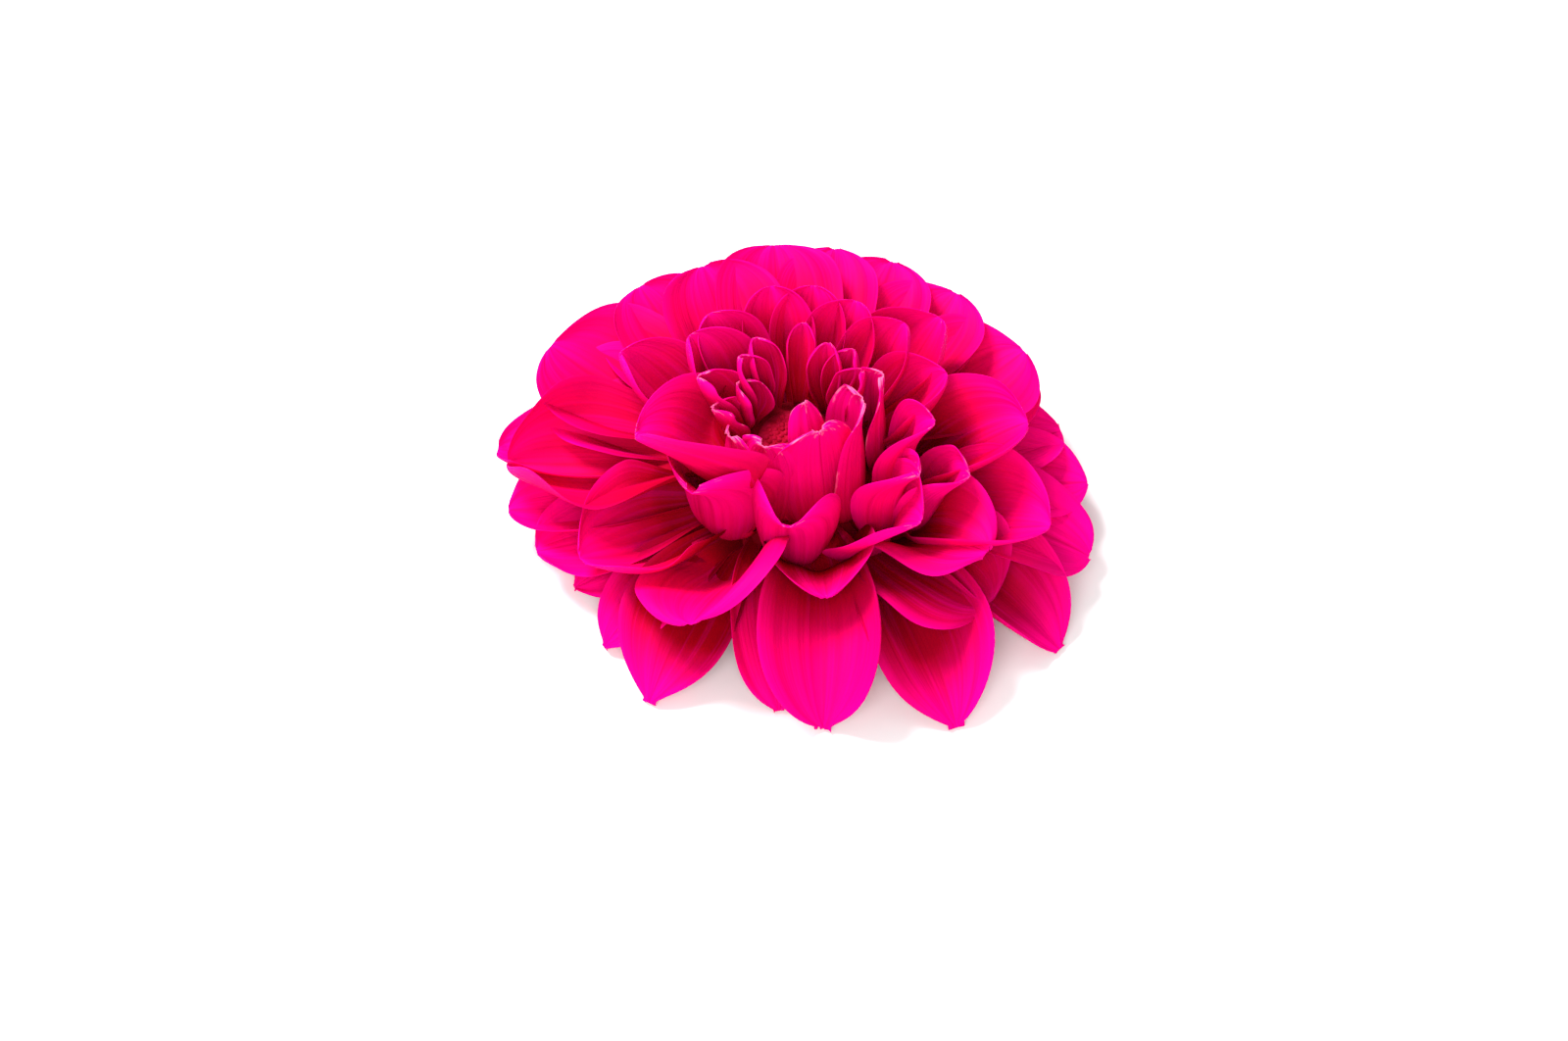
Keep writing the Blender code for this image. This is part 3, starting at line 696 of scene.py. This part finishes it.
def make_petal_marks():
    group = bpy.data.node_groups.new("petal_marks", "ShaderNodeTree")
    for name, value in (("Vein Strength", 1.0), ("Worn", 0.0), ("Tint", 0.5)):
        add_socket(group, name, "INPUT", value)
    for name in ("Vein", "Rib", "Margin", "Soft Margin", "Rubbed", "Height"):
        add_socket(group, name, "OUTPUT")
    nodes = group.nodes
    links = group.links
    given = nodes.new("NodeGroupInput")
    result = nodes.new("NodeGroupOutput")
    uv = nodes.new("ShaderNodeUVMap")
    uv.uv_map = "petal"
    split = nodes.new("ShaderNodeSeparateXYZ")
    links.new(uv.outputs["UV"], split.inputs[0])
    across = split.outputs["X"]
    along = split.outputs["Y"]

    def calc(operation, first, second=None, clamp=False):
        return math_node(nodes, links, operation, first, second, clamp)

    def past(value, mark, clamp=True):
        """How far a value is past the start of a mark. Clamped, it is a soft edge from 0 to 1."""
        start, steepness = mark
        return calc("MULTIPLY", calc("SUBTRACT", value, start), steepness, clamp)

    shift = calc("MULTIPLY", given.outputs["Tint"], TINT_SHIFT)

    def streaks(across_pace, along_pace, detail):
        """Noise stretched along the petal, with a place of its own for each petal."""
        place = nodes.new("ShaderNodeCombineXYZ")
        links.new(calc("MULTIPLY", across, across_pace), place.inputs[0])
        links.new(calc("MULTIPLY", along, along_pace), place.inputs[1])
        links.new(shift, place.inputs[2])
        noise = nodes.new("ShaderNodeTexNoise")
        noise.inputs["Scale"].default_value = 1.0
        noise.inputs["Detail"].default_value = detail
        noise.inputs["Roughness"].default_value = STREAK_ROUGHNESS
        links.new(place.outputs[0], noise.inputs["Vector"])
        return noise.outputs["Fac"]

    fine = streaks(*FINE_VEINS)
    broad = streaks(*BROAD_FOLDS)
    centred = calc("SUBTRACT", calc("ADD", fine, broad), 1.0)
    links.new(calc("MULTIPLY", centred, given.outputs["Vein Strength"]), result.inputs["Vein"])
    links.new(calc("ADD", fine, calc("MULTIPLY", broad, 2.0)), result.inputs["Height"])

    off_middle = calc("ABSOLUTE", calc("SUBTRACT", across, 0.5))
    blade = past(along, CLAW_END)
    line = calc("MAXIMUM", past(off_middle, SIDE_LINE), past(along, END_LINE))
    band = calc("MAXIMUM", past(off_middle, SOFT_SIDE), past(along, SOFT_END))
    links.new(calc("MULTIPLY", band, blade), result.inputs["Soft Margin"])
    middle = calc("SUBTRACT", 1.0, calc("MULTIPLY", off_middle, RIB_STEEPNESS), True)
    links.new(calc("MULTIPLY", calc("MULTIPLY", middle, broad, True), blade), result.inputs["Rib"])

    patches = streaks(*WEAR_PATCHES)
    breaks = past(patches, LINE_BREAKS)
    links.new(calc("MULTIPLY", calc("MULTIPLY", line, blade), breaks), result.inputs["Margin"])

    exposed = calc("MAXIMUM", past(off_middle, EXPOSED_SIDE, False), past(along, EXPOSED_END, False))
    rim_limit = calc("SUBTRACT", RIM_WEAR_LIMIT, given.outputs["Worn"])
    over_rim = calc("SUBTRACT", calc("ADD", patches, exposed), rim_limit)
    rim_rub = calc("MULTIPLY", calc("MULTIPLY", over_rim, 9.0, True), blade)
    fleck_limit = calc("SUBTRACT", FLECK_LIMIT, calc("MULTIPLY", given.outputs["Worn"], 0.75))
    flecks = calc("ADD", streaks(*WEAR_FLECKS), past(along, EXPOSED_TIP, False))
    over_fleck = calc("SUBTRACT", flecks, fleck_limit)
    face_rub = calc("MULTIPLY", calc("MULTIPLY", over_fleck, 14.0, True), 0.8)
    links.new(calc("MAXIMUM", rim_rub, face_rub), result.inputs["Rubbed"])
    return group


petal_marks = make_petal_marks()
print("petal marks group has", len(petal_marks.nodes), "nodes")

# %% [markdown]
# The material mixes its colour in steps. First comes a ramp from crimson claw to magenta end, whose
# crimson claw is partly the petal's own colour and partly painted shade. Then comes painted shade, a
# deeper crimson by depth. Then come darker veins and rib, a soft lighter band inside the margin, the
# thin pale margin itself and the rubbed places.
# Last comes more painted shade: the deepest hollows go nearly black, since hardly any light returns
# from between the petals. Over a quarter of the light passes through, by a Translucent shader of the
# same colour. The green channel stays at nearly nothing, which makes this magenta look electric in the
# photograph. Petals that lie open to the sky get a lighter copy of the skin, which is painted light.

# %% Petal material
# painted shade: the crimson that depth under the head's outline adds
PAINTED_SHADE_CRIMSON = (0.42, 0.0, 0.010, 1.0)
VEIN_CRIMSON = (0.42, 0.0, 0.02, 1.0)
VEIN_PINK = (1.0, 0.0, 0.36, 1.0)
BAND_PINK = (1.0, 0.0, 0.30, 1.0)
MARGIN_PINK = (1.0, 0.01, 0.40, 1.0)
RUBBED_PALE = (1.0, 0.30, 0.48, 1.0)
# painted shade: near black for the deepest hollows between petals
PAINTED_HOLLOW_SHADE = (0.10, 0.0, 0.002, 1.0)
TRANSLUCENCY = 0.28


def mix_color(nodes, links, share, first, second):
    """Blends two colours, each a socket or a tuple."""
    node = nodes.new("ShaderNodeMix")
    node.data_type = "RGBA"
    for place, value in ((6, first), (7, second)):
        if isinstance(value, tuple):
            node.inputs[place].default_value = value
        else:
            links.new(value, node.inputs[place])
    links.new(share, node.inputs[0])
    return node.outputs[2]


def read_attribute(nodes, name):
    node = nodes.new("ShaderNodeAttribute")
    node.attribute_name = name
    return node.outputs["Fac"]


def make_petal_material(name, claw, middle, end, blush, vein_strength):
    """Petal skin from its colours at the claw, at the share `blush` of the length and at the end."""
    material = bpy.data.materials.new(name)
    material.use_nodes = True
    nodes = material.node_tree.nodes
    links = material.node_tree.links
    shader = nodes["Principled BSDF"]
    shader.inputs["Roughness"].default_value = 0.6
    shader.inputs["Specular IOR Level"].default_value = 0.02
    uv = nodes.new("ShaderNodeUVMap")
    uv.uv_map = "petal"
    split = nodes.new("ShaderNodeSeparateXYZ")
    links.new(uv.outputs["UV"], split.inputs[0])
    marks = nodes.new("ShaderNodeGroup")
    marks.node_tree = petal_marks
    marks.inputs["Vein Strength"].default_value = vein_strength
    links.new(read_attribute(nodes, "worn"), marks.inputs["Worn"])
    links.new(read_attribute(nodes, "tint"), marks.inputs["Tint"])

    # The ramp's crimson claw is partly the petal's own colour and partly painted shade, since claws lie
    # between other petals.
    ramp = nodes.new("ShaderNodeValToRGB")
    stops = ramp.color_ramp.elements
    stops[0].position = 0.12
    stops[0].color = claw
    stops[1].position = 0.97
    stops[1].color = end
    between = stops.new(blush)
    between.color = middle
    links.new(split.outputs["Y"], ramp.inputs[0])

    def paint(under, mask, strength, over):
        share = math_node(nodes, links, "MULTIPLY", mask, strength, True)
        return mix_color(nodes, links, share, under, over)

    depth = read_attribute(nodes, "depth")
    # painted shade, a deeper crimson by depth
    color = paint(ramp.outputs[0], depth, 0.85, PAINTED_SHADE_CRIMSON)
    color = paint(color, marks.outputs["Vein"], -0.7, VEIN_CRIMSON)
    color = paint(color, marks.outputs["Rib"], 0.9, VEIN_CRIMSON)
    color = paint(color, marks.outputs["Vein"], 0.5, VEIN_PINK)
    color = paint(color, marks.outputs["Soft Margin"], 0.45, BAND_PINK)
    color = paint(color, marks.outputs["Margin"], 0.14, MARGIN_PINK)
    color = paint(color, marks.outputs["Rubbed"], 0.7, RUBBED_PALE)
    # painted shade, nearly black where the depth passes its full value
    color = paint(color, math_node(nodes, links, "SUBTRACT", depth, 1.0), 1.6, PAINTED_HOLLOW_SHADE)
    links.new(color, shader.inputs["Base Color"])

    bump = nodes.new("ShaderNodeBump")
    bump.inputs["Strength"].default_value = 0.5
    bump.inputs["Distance"].default_value = 0.35 * MM
    links.new(marks.outputs["Height"], bump.inputs["Height"])
    links.new(bump.outputs["Normal"], shader.inputs["Normal"])

    glow = nodes.new("ShaderNodeBsdfTranslucent")
    links.new(color, glow.inputs["Color"])
    both = nodes.new("ShaderNodeMixShader")
    both.inputs[0].default_value = TRANSLUCENCY
    links.new(shader.outputs[0], both.inputs[1])
    links.new(glow.outputs[0], both.inputs[2])
    links.new(both.outputs[0], nodes["Material Output"].inputs["Surface"])
    return material


# Two copies of one skin: the darker one is painted shade for petals between others, the lighter one
# painted light for petals open to the sky.
shaded_skin = make_petal_material(
    "shaded_petal_crimson", (0.43, 0.0, 0.009, 1.0), (0.84, 0.0, 0.11, 1.0), (0.95, 0.0, 0.28, 1.0),
    blush=0.62, vein_strength=1.4,
)
sky_lit_skin = make_petal_material(
    "lit_petal_magenta", (0.55, 0.0, 0.01, 1.0), (0.92, 0.0, 0.19, 1.0), (0.95, 0.0, 0.28, 1.0),
    blush=0.55, vein_strength=1.5,
)
print("petal material has", len(shaded_skin.node_tree.nodes), "nodes")

# %% [markdown]
# ## The petals, layer by layer
# One piece for each layer keeps them easy to find and under the face limit. Inner layers have smaller
# petals, so they get fewer faces, and more wear, since they stand highest and rub against the box. The
# tables also say how strong the depth colour is, as `shade`, and how far out a petal is covered.

# %% The petals, layer by layer
PETAL_THICKNESS = 0.35 * MM
STEPS = (40, 26)
SMALL_STEPS = (30, 20)
SMALL_LAYERS = ("curl", "wall", "cup")
# layers whose petals lie open to the sky, which get the painted-light copy of the skin
SKY_LIT_LAYERS = ("drape", "outer", "stand", "wall")
LAYER_WEAR = dict(
    drape=0.22, outer=0.16, scoop=0.2, shingle=0.1, cup=0.3, stand=0.36, wall=0.55, curl=0.4,
)
PETAL_WEAR = {
    ("curl", 150): 0.52, ("curl", 163): 0.46, ("curl", -176): 0.52, ("wall", 14): 0.57,
    ("wall", -14): 0.58, ("stand", -25): 0.44, ("stand", -38): 0.44, ("cup", -165): 0.38,
}
# shade, and cover in mm
LAYER_SHADE = dict(
    drape=(1.2, 44), outer=(0.9, 44), scoop=(1.0, 44), shingle=(0.8, 44),
    cup=(0.9, 44), stand=(0.3, 44), wall=(0.2, 44), curl=(1.35, 44),
)
PETAL_SHADE = {
    ("drape", -121): (1.3, 49), ("drape", -94): (1.35, 31), ("drape", -84.5): (1.1, 41),
    ("drape", -60): (1.1, 55), ("drape", -34): (1.05, 58),
    ("outer", 173): (0.2, 44), ("outer", -41): (1.3, 56),
    ("scoop", -151): (1.25, 36), ("scoop", -114): (1.6, 31), ("scoop", -81): (1.9, 36),
    ("scoop", -38): (1.5, 42), ("scoop", -22): (0.5, 44), ("scoop", 2): (1.3, 52),
    ("shingle", 178): (0.3, 44), ("cup", -165): (0.4, 44),
}


def grow_layer(layer):
    joined = bmesh.new()
    count = 0
    for number, row in enumerate(PETALS):
        if row[0] != layer:
            continue
        steps = SMALL_STEPS if layer in SMALL_LAYERS else STEPS
        shade, cover = PETAL_SHADE.get(row[:2], LAYER_SHADE[layer])
        wear = PETAL_WEAR.get(row[:2], LAYER_WEAR[layer])
        character = Character(number, row[:2])
        add_sheet(joined, petal_sheet(Petal(*row), character, wear, shade, cover, *steps))
        count += 1
    whole = bpy.data.meshes.new("petals_" + layer)
    joined.to_mesh(whole)
    joined.free()
    # painted light: layers open to the sky get the lighter copy of the skin
    skin = sky_lit_skin if layer in SKY_LIT_LAYERS else shaded_skin
    piece = link_piece("petals_" + layer, whole, skin, "bloom")
    piece.vertex_groups.new(name="blade")
    thicken(piece, PETAL_THICKNESS).vertex_group = "blade"
    print(layer, count, "petals,", len(whole.polygons), "faces a side")


for layer in LAYERS:
    grow_layer(layer)

# %% [markdown]
# ## Plain skins
# Everything that isn't a petal is dull plant matter: the receptacle, the florets, the bracts and the
# neck. One recipe makes all four skins. Noise on the piece itself lets the colour drift between two
# values and roughens the surface a little, since dried plants are never one even colour.

# %% Plain skins
def make_plain_material(name, color, second, scale, roughness):
    """A matt material whose colour drifts between two values with noise on the piece itself."""
    material = bpy.data.materials.new(name)
    material.use_nodes = True
    nodes = material.node_tree.nodes
    links = material.node_tree.links
    shader = nodes["Principled BSDF"]
    shader.inputs["Roughness"].default_value = roughness
    shader.inputs["Specular IOR Level"].default_value = 0.06
    place = nodes.new("ShaderNodeTexCoord")
    noise = nodes.new("ShaderNodeTexNoise")
    noise.inputs["Scale"].default_value = scale
    noise.inputs["Detail"].default_value = 5.0
    links.new(place.outputs["Object"], noise.inputs["Vector"])
    middling = math_node(nodes, links, "SUBTRACT", noise.outputs["Fac"], 0.35)
    share = math_node(nodes, links, "MULTIPLY", middling, 3.0, True)
    links.new(mix_color(nodes, links, share, color, second), shader.inputs["Base Color"])
    bump = nodes.new("ShaderNodeBump")
    bump.inputs["Strength"].default_value = 0.5
    bump.inputs["Distance"].default_value = 0.15 * MM
    links.new(noise.outputs["Fac"], bump.inputs["Height"])
    links.new(bump.outputs["Normal"], shader.inputs["Normal"])
    return material


receptacle_skin = make_plain_material(
    "receptacle_crimson", (0.14, 0.0, 0.004, 1.0), (0.22, 0.0, 0.01, 1.0), scale=300, roughness=0.9,
)
floret_skin = make_plain_material(
    "floret_crimson", (0.27, 0.0, 0.012, 1.0), (0.40, 0.002, 0.035, 1.0), scale=900, roughness=0.85,
)
green_skin = make_plain_material(
    "calyx_green", (0.07, 0.14, 0.03, 1.0), (0.16, 0.20, 0.06, 1.0), scale=260, roughness=0.75,
)
straw_skin = make_plain_material(
    "bract_straw", (0.36, 0.24, 0.11, 1.0), (0.55, 0.42, 0.22, 1.0), scale=240, roughness=0.8,
)
print("plain skins:", receptacle_skin.name, floret_skin.name, green_skin.name, straw_skin.name)

# %% [markdown]
# ## Receptacle
# All petals grow from one cushion in the middle, which shows only as a dark gap between them. It is a
# solid of revolution: a profile of radius and height is spun once round the axis. Its doubles on
# the axis are merged and its normals recalculated, because a spin can come out inside out.

# %% Receptacle
GAP = 0.3 * MM
CALYX_TOP = 4.9 * MM
INNER_BRACT_TOP = CALYX_TOP + GAP + 0.8 * MM
HEART_BOTTOM = INNER_BRACT_TOP + GAP
HEART_TOP = 21.6 * MM
SAME_POINT = 0.001 * MM


def turned_mesh(name, profile, steps):
    """A closed solid of revolution from (radius, height) points."""
    shape = bmesh.new()
    corners = [shape.verts.new((radius, 0.0, height)) for radius, height in profile]
    lines = [shape.edges.new(pair) for pair in zip(corners, corners[1:])]
    bmesh.ops.spin(
        shape, geom=corners + lines, cent=(0, 0, 0), axis=(0, 0, 1), angle=2 * math.pi, steps=steps,
        use_merge=True,
    )
    bmesh.ops.remove_doubles(shape, verts=shape.verts, dist=SAME_POINT)
    bmesh.ops.recalc_face_normals(shape, faces=shape.faces)
    mesh = bpy.data.meshes.new(name)
    shape.to_mesh(mesh)
    shape.free()
    return mesh


receptacle_profile = (
    (0.0, HEART_BOTTOM), (8.0 * MM, HEART_BOTTOM), (17.0 * MM, HEART_BOTTOM + 1.2 * MM),
    (17.5 * MM, 9.5 * MM), (14.0 * MM, 13.0 * MM), (11.5 * MM, 17.0 * MM),
    (10.2 * MM, 20.5 * MM), (9.8 * MM, HEART_TOP), (0.0, HEART_TOP),
)
receptacle_mesh = turned_mesh("receptacle", receptacle_profile, 96)
receptacle = link_piece("receptacle", receptacle_mesh, receptacle_skin, "bloom")
print("receptacle", round(receptacle.dimensions.x / MM, 1), "mm wide")

# %% [markdown]
# ## Disc florets
# The eye is a dome of closed florets. They pack along a spiral with the golden angle between
# neighbours, the rule that sunflowers and dahlias share, which fills a disc evenly. Each floret is a
# slim crimson bud with a pointed end, and has only 19 faces, since there are many. A low cushion closes
# the gaps between them.

# %% Disc florets
DISC_RADIUS = 6.9 * MM
DISC_BOTTOM = HEART_TOP + GAP
DISC_TOP = 23.4 * MM
GOLDEN_ANGLE = math.radians(137.508)
BUD_COUNT = 90
BUD_SIDES = 6
# (share of the bud's height, share of its radius), then sizes in mm
BUD_SHAPE = ((0.0, 0.75), (0.45, 1.0), (0.8, 0.72), (1.0, 0.15))
BUD_RADII = (0.55, 0.72)
BUD_RISE = 0.35
DOME_FALL = 0.8
UNEVENNESS = 0.5
DISC_SEED = 5


def add_bud(shape, base, top, radius, lean):
    """A closed floret: a six-sided bud, swollen in the middle and pointed at the end."""
    size = radius * BUD_SHAPE[0][1]
    made = bmesh.ops.create_circle(shape, cap_ends=False, segments=BUD_SIDES, radius=size)
    ring = made["verts"]
    bmesh.ops.translate(shape, verts=ring, vec=base)
    edges = [edge for edge in shape.edges if edge.verts[0] in ring and edge.verts[1] in ring]
    for (low, wide), (high, narrow) in zip(BUD_SHAPE, BUD_SHAPE[1:]):
        grown = bmesh.ops.extrude_edge_only(shape, edges=edges)["geom"]
        ring = [item for item in grown if isinstance(item, bmesh.types.BMVert)]
        edges = [item for item in grown if isinstance(item, bmesh.types.BMEdge)]
        middle = sum((vertex.co for vertex in ring), Vector()) / len(ring)
        for vertex in ring:
            vertex.co = middle + (vertex.co - middle) * (narrow / wide)
        bmesh.ops.translate(shape, verts=ring, vec=(top - base + lean) * (high - low))
    bmesh.ops.contextual_create(shape, geom=edges)


def make_disc_mesh():
    shape = bmesh.new()
    draw = random.Random(DISC_SEED)
    for index in range(BUD_COUNT):
        spread = math.sqrt((index + 0.5) / BUD_COUNT)
        radius = (DISC_RADIUS - 0.7 * MM) * spread
        angle = index * GOLDEN_ANGLE
        base = radial(angle, radius, DISC_BOTTOM + 0.2 * MM)
        rise = BUD_RISE - DOME_FALL * spread * spread - draw.uniform(0.0, UNEVENNESS)
        top = radial(angle, radius, DISC_TOP + rise * MM)
        lean = radial(angle, -0.25 * MM * spread, 0.0)
        add_bud(shape, base, top, draw.uniform(*BUD_RADII) * MM, lean)
    bmesh.ops.recalc_face_normals(shape, faces=shape.faces)
    mesh = bpy.data.meshes.new("disc_florets")
    shape.to_mesh(mesh)
    shape.free()
    return mesh


disc_florets = link_piece("disc_florets", make_disc_mesh(), floret_skin, "disc")
cushion_profile = (
    (0.0, DISC_BOTTOM), (DISC_RADIUS, DISC_BOTTOM), (DISC_RADIUS, DISC_BOTTOM + 0.5 * MM),
    (DISC_RADIUS * 0.6, DISC_TOP - 0.6 * MM), (0.0, DISC_TOP - 0.3 * MM),
)
cushion_mesh = turned_mesh("disc_cushion", cushion_profile, 48)
disc_cushion = link_piece("disc_cushion", cushion_mesh, floret_skin, "disc")
print(BUD_COUNT, "closed florets with", len(disc_florets.data.polygons), "faces")
print("the eye lies", round((head_height(0) - DISC_TOP) / MM, 1), "mm under the outline")

# %% [markdown]
# ## Under the head
# The underside is hidden in the photograph and finished as on a real dahlia: a rosette of thin straw
# coloured bracts against the petals, then six leafy green bracts that bend back, and the neck, cut
# flush. A bract is a sheet like a petal, but leaf-shaped, so it gets its own small recipe: its outline
# is part of a sine, which starts at `BRACT_ROOT` of the way and never gets narrower than its end.

# %% Bract sheets
BRACT_FOLD = 0.06 * MM
BRACT_ROOT = 0.22
BRACT_END = 0.12
BRACT_ROUNDNESS = 0.6


def bract_sheet(angle, root, tip, arch, width, cup):
    """A leaf-shaped sheet from a root to a tip, each given as (radius, height)."""
    sheet = bmesh.new()
    bmesh.ops.create_grid(sheet, x_segments=20, y_segments=12, size=0.5)
    outward = radial(angle, 1.0, 0.0)
    left = radial(angle + math.pi / 2, 1.0, 0.0)
    for vertex in sheet.verts:
        along = vertex.co.x + 0.5
        across = vertex.co.y * 2
        outline = math.sin(math.pi * min(1.0, blend(BRACT_ROOT, 1.0, along))) ** BRACT_ROUNDNESS
        half = width / 2 * max(BRACT_END, outline)
        height = blend(root[1], tip[1], along) + arch * math.sin(math.pi * along)
        height += cup * half * across * across
        height += BRACT_FOLD * math.cos(9 * across) * along
        vertex.co = outward * blend(root[0], tip[0], along) + left * half * across
        vertex.co.z += height
    return sheet


def add_bracts(name, node, slot, material, count, start, thickness, **shape):
    """A ring of equal bracts, the first one turned by the share `start` of a step."""
    joined = bmesh.new()
    for index in range(count):
        add_sheet(joined, bract_sheet(2 * math.pi * (index + start) / count, **shape))
    mesh = bpy.data.meshes.new(name)
    joined.to_mesh(mesh)
    joined.free()
    piece = link_piece(name, mesh, material, node)
    thicken(piece, thickness)
    print(name, count)


add_bracts(
    "straw_bracts", "inner_bracts", "bract_straw", straw_skin,
    count=8, start=0.0, thickness=0.5 * MM,
    root=(5.5 * MM, CALYX_TOP + GAP + 0.35 * MM), tip=(19.0 * MM, CALYX_TOP + GAP + 0.7 * MM),
    arch=-0.1 * MM, width=11.0 * MM, cup=0.02,
)
add_bracts(
    "green_bracts", "calyx", "calyx_green", green_skin,
    count=6, start=0.37, thickness=0.7 * MM,
    root=(4.6 * MM, 3.9 * MM), tip=(18.0 * MM, 1.9 * MM),
    arch=0.4 * MM, width=8.5 * MM, cup=-0.12,
)

# %% [markdown]
# The hub between the bracts and the neck are turned like the receptacle. A narrow bevel on the neck's
# cut edge catches the light, as a clean cut through a dry stem does.

# %% Hub and neck
CALYX_RADIUS = 8.6 * MM
NECK_RADIUS = 3.6 * MM
NECK_HEIGHT = 2.6 * MM
NECK_BEVEL = 0.15 * MM
hub_profile = (
    (0.0, CALYX_TOP + GAP), (CALYX_RADIUS, CALYX_TOP + GAP),
    (CALYX_RADIUS, INNER_BRACT_TOP), (0.0, INNER_BRACT_TOP),
)
neck_profile = (
    (0.0, 0.0), (NECK_RADIUS - NECK_BEVEL, 0.0), (NECK_RADIUS, NECK_BEVEL),
    (NECK_RADIUS * 0.94, NECK_HEIGHT * 0.6), (NECK_RADIUS * 1.12, NECK_HEIGHT),
    (CALYX_RADIUS * 0.82, CALYX_TOP - 1.5 * MM),
    (CALYX_RADIUS, CALYX_TOP - 0.7 * MM), (CALYX_RADIUS, CALYX_TOP), (0.0, CALYX_TOP),
)
hub = link_piece("bract_hub", turned_mesh("bract_hub", hub_profile, 64), straw_skin, "inner_bracts")
neck = link_piece("neck", turned_mesh("neck", neck_profile, 64), green_skin, "calyx")
print("neck", round(neck.dimensions.x / MM, 1), "mm across its widest part")
